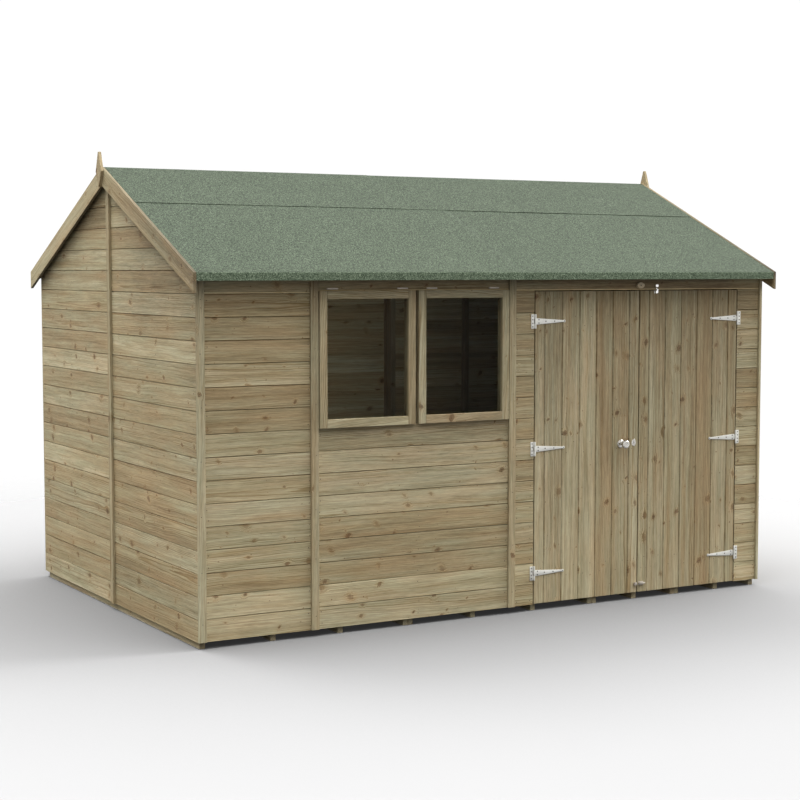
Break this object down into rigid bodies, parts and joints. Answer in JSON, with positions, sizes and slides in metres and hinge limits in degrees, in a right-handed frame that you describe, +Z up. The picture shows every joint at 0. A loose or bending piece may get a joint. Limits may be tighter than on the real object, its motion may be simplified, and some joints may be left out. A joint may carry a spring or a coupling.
{
  "type": "wooden garden shed",
  "caption": "Apex-roof wooden garden shed with horizontal boards, a felted roof, bargeboards with finials, top-hung windows and double doors that swing outward on strap hinges.",
  "frame": {"origin": "centre of the plan at ground level, on the underside of the floor bearers", "axes": "+X along the front from the left gable to the right gable, +Y from the front to the back, +Z up; the doors and windows face -Y"},
  "size_m": [3.717, 2.54, 2.516],
  "materials": {
    "cladding": "planed pressure-treated softwood boards",
    "door_wood": "planed pressure-treated softwood boards",
    "trim_wood": "planed pressure-treated softwood",
    "casement_wood": "planed pressure-treated softwood",
    "barge_wood": "planed pressure-treated softwood",
    "frame_wood": "sawn treated softwood",
    "floor_wood": "planed softwood boards",
    "glazing": "clear",
    "zinc": "bright galvanised",
    "satin_metal": "satin",
    "lock_case": "black lacquer",
    "felt": "green mineral granules on bitumen felt"
  },
  "bodies": {
    "shed": {"floor_bearers": "frame_wood", "floor_boards": "floor_wood", "front_left_panel": "cladding", "front_window_panel": "cladding", "window_header": "cladding", "door_side_left": "cladding", "door_side_right": "cladding", "door_header": "cladding", "left_gable_panels": "cladding", "right_gable_panels": "cladding", "back_wall_panels": "cladding", "front_frame": "frame_wood", "back_frame": "frame_wood", "gable_frames": "frame_wood", "cover_battens": "trim_wood", "corner_trims": "trim_wood", "left_casement": "casement_wood", "right_casement": "casement_wood", "window_glass": "glazing", "window_hinges": "zinc", "left_hinge_plates": "zinc", "right_hinge_plates": "zinc", "turn_button": "trim_wood", "top_bolt_keeper": "zinc", "roof_deck_front": "floor_wood", "roof_deck_back": "floor_wood", "roof_felt": "felt", "ridge_felt": "felt", "eaves_battens": "trim_wood", "purlins": "frame_wood", "bargeboards": "barge_wood", "finials": "barge_wood"},
    "left_door": {"left_door_boards": "door_wood", "left_door_ledges": "frame_wood", "left_door_straps": "zinc", "lock_plates": "satin_metal", "rim_lock": "lock_case", "bottom_bolt_keeper": "zinc"},
    "right_door": {"right_door_boards": "door_wood", "right_door_ledges": "frame_wood", "right_door_straps": "zinc", "top_bolt": "zinc", "bottom_bolt": "zinc"},
    "knob": {"door_knob": "satin_metal"}
  },
  "joints": [
    {"name": "left_door_hinge", "type": "hinge", "parent": "shed", "child": "left_door", "pos_m": [0.196, -1.192, 0.898], "axis": [0, 0, -1], "range_deg": [0, 160]},
    {"name": "right_door_hinge", "type": "hinge", "parent": "shed", "child": "right_door", "pos_m": [1.621, -1.192, 0.898], "axis": [0, 0, 1], "range_deg": [0, 160]},
    {"name": "knob_turn", "type": "hinge", "parent": "left_door", "child": "knob", "pos_m": [0.784, -1.186, 0.898], "axis": [0, -1, 0], "range_deg": [-45, 45], "stiffness_Nm_per_rad": 0.3}
  ]
}
